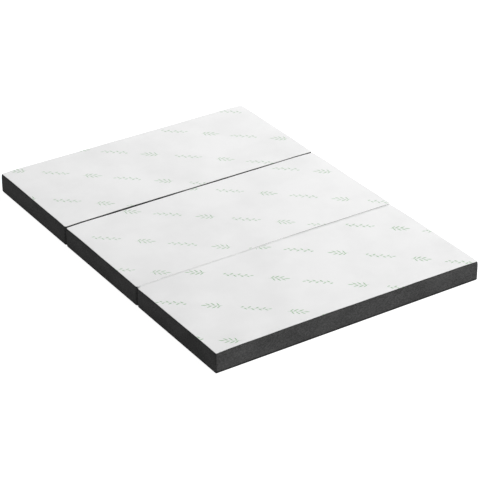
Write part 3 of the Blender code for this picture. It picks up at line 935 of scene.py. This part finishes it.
def makeUpperHinge():
    # White strip over the foot's fold, held in the two top seams, sagging a little between them.
    size = sizes["middle"]
    fold = foldAt["foot"]
    reach = foldGap / 2 + form["seamInset"] + hinge["lap"]
    bm = stripGrid(fold, size["halfX"] - hinge["upperInset"], reach)
    for vert in bm.verts:
        side = "middle" if vert.co.y > fold else "foot"
        share = clamp(abs(vert.co.y - fold) / reach, 0, 1)
        edge = {}
        for name, way in (("middle", -1), ("foot", 1)):
            y = way * (sizes[name]["halfY"] - form["seamInset"])
            edge[name] = seamLevel(name, sizes[name], vert.co.x - size["centre"].x, y)
        between = (edge["middle"] + edge["foot"]) / 2
        level = between + (edge[side] - between) * share
        vert.co.z = level - hinge["clearance"] - hinge["sag"] * (1 - share**2)
    faceTowards(bm, (0, 0, 1))
    thing = newPiece("upperHingeStrip", bm, looks["hingeWhite"])
    thicken(thing, hinge["cloth"])
    return thing


def hingeReach():
    # From the fold line to the base seam on each side of it.
    return foldGap / 2 + form["edgeRadius"]


def makeLowerHinge():
    # Dark strip under the head's fold, held in the two base seams.
    bm = stripGrid(foldAt["head"], sizes["middle"]["halfX"] - hinge["lowerInset"], hingeReach())
    faceTowards(bm, (0, 0, -1))
    thing = newPiece("lowerHingeStrip", bm, looks["hingeDark"])
    thicken(thing, hinge["cloth"])
    return thing


# Zips: woven tapes, rows of coil, stitching round the slot

def makeTape(section, row):
    low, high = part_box(f"{section}_zip_tape_{row}")
    bm = bmesh.new()
    bmesh.ops.create_grid(bm, x_segments=tapeForm["columns"], y_segments=tapeForm["rows"], size=1)
    bmesh.ops.scale(bm, verts=bm.verts, vec=((high.y - low.y) / 2, (high.z - low.z) / 2, 1))
    bmesh.ops.rotate(bm, verts=bm.verts, cent=(0, 0, 0), matrix=Quaternion((0.5, 0.5, 0.5, 0.5)).to_matrix())
    middle = (low + high) / 2
    for vert in bm.verts:
        turns = vert.co.z / (high.z - low.z) * tapeForm["ribs"]
        vert.co.x = tapeForm["ribDepth"] * cos(turns * 2 * pi)
    shift(bm, (high.x - tapeForm["slack"], middle.y, middle.z))
    faceTowards(bm, (1, 0, 0))
    thing = newPiece(f"{section}ZipTape{row.capitalize()}", bm, looks["zipTape"])
    thicken(thing, high.x - low.x - 2 * tapeForm["slack"])
    return thing


def bead(bm, length, width, height, ease):
    # A small block with eased edges, about the origin: length along Y, width along Z, height along X.
    made = bmesh.ops.create_cube(bm, size=1)["verts"]
    bmesh.ops.scale(bm, verts=made, vec=(height, length, width))
    edges = list({edge for vert in made for edge in vert.link_edges})
    cut = bmesh.ops.bevel(bm, geom=edges, offset=ease, segments=1, profile=0.5, affect="EDGES", material=-1)
    return cut["verts"]


def makeCoil(section, row):
    # Turns of a nylon coil, each a slanted loop with a thicker head towards the other row.
    low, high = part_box(f"{section}_zip_coil_{row}")
    side = 1 if row == "upper" else -1
    inner = low.z if side > 0 else high.z
    reach = high.z - low.z + coilForm["overlap"]
    bm = bmesh.new()
    made = bead(bm, zipForm["pitch"] * coilForm["wire"], reach, high.x - low.x, coilForm["ease"])
    for vert in made:
        head = clamp(0.5 - side * vert.co.z / reach, 0, 1)
        vert.co.y *= 1 + coilForm["headSpread"] * head
        vert.co.y += coilForm["slant"] * vert.co.z
    count = int((high.y - low.y) / zipForm["pitch"]) - 1
    start = low.y + zipForm["pitch"] * (0.5 if side > 0 else 1.0)
    shift(bm, ((low.x + high.x) / 2, start, inner + side * (reach / 2 - coilForm["overlap"])))
    thing = newPiece(f"{section}ZipCoil{row.capitalize()}", bm, looks["zipCoil"], flat=True)
    repeat(thing, "turns", count, (0, zipForm["pitch"], 0))
    return thing


def makeZipStitches(section):
    # Lockstitch round the slot, which holds the tapes behind the border.
    size = sizes[section]
    halfY = zipForm["half"] + zipForm["stitchInset"]
    halfZ = zipForm["slotHalf"] + zipForm["stitchInset"]
    x = size["centre"].x + size["halfX"] + zipForm["stitchLift"]
    bm = bmesh.new()
    runs = (("long", 2 * halfY), ("short", 2 * halfZ))
    for kind, run in runs:
        count = round(run / zipForm["stitch"])
        for side in (-1, 1):
            for step in range(count):
                along = -run / 2 + (step + 0.5) * run / count
                made = bead(bm, zipForm["stitchLength"], zipForm["stitchWidth"], zipForm["stitchHeight"],
                            zipForm["stitchEase"])
                if kind == "short":
                    turn = Quaternion((1, 0, 0), pi / 2).to_matrix()
                    bmesh.ops.rotate(bm, verts=made, cent=(0, 0, 0), matrix=turn)
                place = (0, along, side * halfZ) if kind == "long" else (0, side * halfY, along)
                bmesh.ops.translate(bm, verts=made, vec=place)
    shift(bm, (x, size["centre"].y, zipForm["z"]))
    return newPiece(section + "ZipStitches", bm, looks["thread"], flat=True)


# Assembly

def dress(section):
    foam = makeFoamCore(section)
    top = makeTopCover(section)
    band = makeBorder(section)
    base = makeBaseCover(section)
    dots = makeGripDots(section)
    stitches = makeZipStitches(section)
    for thing, node, slot in (
        (foam, "foam_core", "foam"),
        (top, "top_panel", "top_knit"),
        (band, "border", "border_knit"),
        (base, "base_panel", "base_cloth"),
    ):
        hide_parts(f"{section}_{node}")
    for thing in (foam, top, band, base, dots, stitches):
        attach(thing, section)
    for row in ("upper", "lower"):
        tape = makeTape(section, row)
        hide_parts(f"{section}_zip_tape_{row}")
        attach(tape, section)
        coil = makeCoil(section, row)
        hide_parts(f"{section}_zip_coil_{row}")
        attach(coil, section)
        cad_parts[f"{section}_zip_stop_{row}"].data.materials[0] = looks["metal"]
    for node in ("zip_stop_end", "zip_slider", "zip_pull"):
        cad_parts[f"{section}_{node}"].data.materials[0] = looks["metal"]
    print(section, "section dressed")


for section in sections:
    dress(section)


def joinSections():
    upper = makeUpperHinge()
    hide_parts("upper_hinge_tape_middle_half", "upper_hinge_tape_foot_half")
    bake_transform(upper)
    lower = makeLowerHinge()
    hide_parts("lower_hinge_tape_middle_half", "lower_hinge_tape_head_half")
    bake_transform(lower)
    print("hinge strips made")


joinSections()


# Floor, light and camera

studio = {
    "floorTone": 0.42,
    "floorVary": 0.01,
    "floorCloud": 0.6,
    "floorLift": 0.93,
    "floorReach": 40,
    "ambient": 0.26,
    "keyPlace": (12.6, -11.8, 12.6),
    "keySize": 7.6,
    "keyPower": 3830.0,
    "fillPlace": (6.0, 6.0, 5.0),
    "fillSize": 5.0,
    "fillPower": 490.0,
}

view = {
    "azimuth": -32.995,
    "elevation": 29.499,
    "roll": 0.278,
    "distance": 9.0773,
    "right": 0.0431,
    "up": -0.0258,
    "focalPixels": 1976.5,
    "imagePixels": 479,
    "sensor": 36.0,
    "clipEnd": 200,
}


def seenOrMirrored(tree):
    # 1 for rays that see the surface straight, in gloss or through glass.
    path = addNode(tree, "ShaderNodeLightPath")
    some = doMath(tree, "MAXIMUM", path.outputs["Is Camera Ray"], path.outputs["Is Glossy Ray"])
    return doMath(tree, "MAXIMUM", some, path.outputs["Is Transmission Ray"])


def makeFloor():
    bm = bmesh.new()
    bmesh.ops.create_grid(bm, x_segments=1, y_segments=1, size=studio["floorReach"])
    material, tree, shader = startMaterial("paleFloor", Roughness=1.0)
    shader.inputs["Specular IOR Level"].default_value = 0.0
    cloud = speckle(tree, placeOf(tree), studio["floorCloud"], 2.0)
    pale = studio["floorTone"]
    tone = rampColours(tree, cloud, (pale - studio["floorVary"],) * 3, (pale,) * 3)
    join(tree, tone, shader.inputs["Base Color"])
    glow = addNode(tree, "ShaderNodeEmission", {"Color": (1, 1, 1, 1)})
    join(tree, doMath(tree, "MULTIPLY", seenOrMirrored(tree), studio["floorLift"]), glow.inputs["Strength"])
    both = addNode(tree, "ShaderNodeAddShader")
    join(tree, shader.outputs[0], both.inputs[0])
    join(tree, glow.outputs[0], both.inputs[1])
    join(tree, both.outputs[0], tree.nodes["Material Output"].inputs["Surface"])
    floor = newPiece("floor", bm, material, flat=True)


def makeWorld():
    world = bpy.data.worlds.new("studioAir")
    world.use_nodes = True
    tree = world.node_tree
    shader = tree.nodes["Background"]
    shader.inputs["Color"].default_value = (1, 1, 1, 1)
    join(tree, spread(tree, seenOrMirrored(tree), studio["ambient"], 1.0), shader.inputs["Strength"])
    bpy.context.scene.world = world


def makeLamp(name, place, size, power):
    lamp = bpy.data.lights.new(name, "AREA")
    lamp.shape = "DISK"
    lamp.size = size
    lamp.energy = power
    thing = bpy.data.objects.new(name, lamp)
    bpy.context.scene.collection.objects.link(thing)
    thing.location = place
    thing.rotation_mode = "QUATERNION"
    thing.rotation_quaternion = (-Vector(place)).to_track_quat("-Z", "Y")


def makeCamera():
    turn = radians(view["azimuth"])
    rise = radians(view["elevation"])
    back = Vector((sin(turn) * cos(rise), -cos(turn) * cos(rise), sin(rise)))
    right = Vector((cos(turn), sin(turn), 0))
    up = back.cross(right)
    data = bpy.data.cameras.new("camera")
    data.sensor_width = view["sensor"]
    data.lens = view["focalPixels"] / view["imagePixels"] * view["sensor"]
    data.clip_end = view["clipEnd"]
    camera = bpy.data.objects.new("camera", data)
    bpy.context.scene.collection.objects.link(camera)
    middle = Vector((sizes["middle"]["centre"].x, 0, 0))
    camera.location = middle + back * view["distance"] + right * view["right"] + up * view["up"]
    camera.rotation_mode = "QUATERNION"
    rolled = Quaternion((0, 0, 1), radians(-view["roll"]))
    camera.rotation_quaternion = (-back).to_track_quat("-Z", "Y") @ rolled
    bpy.context.scene.camera = camera


makeFloor()
makeWorld()
makeLamp("key", studio["keyPlace"], studio["keySize"], studio["keyPower"])
makeLamp("fill", studio["fillPlace"], studio["fillSize"], studio["fillPower"])
makeCamera()
bpy.context.scene.view_settings.view_transform = "Standard"
print("floor, light and camera set")
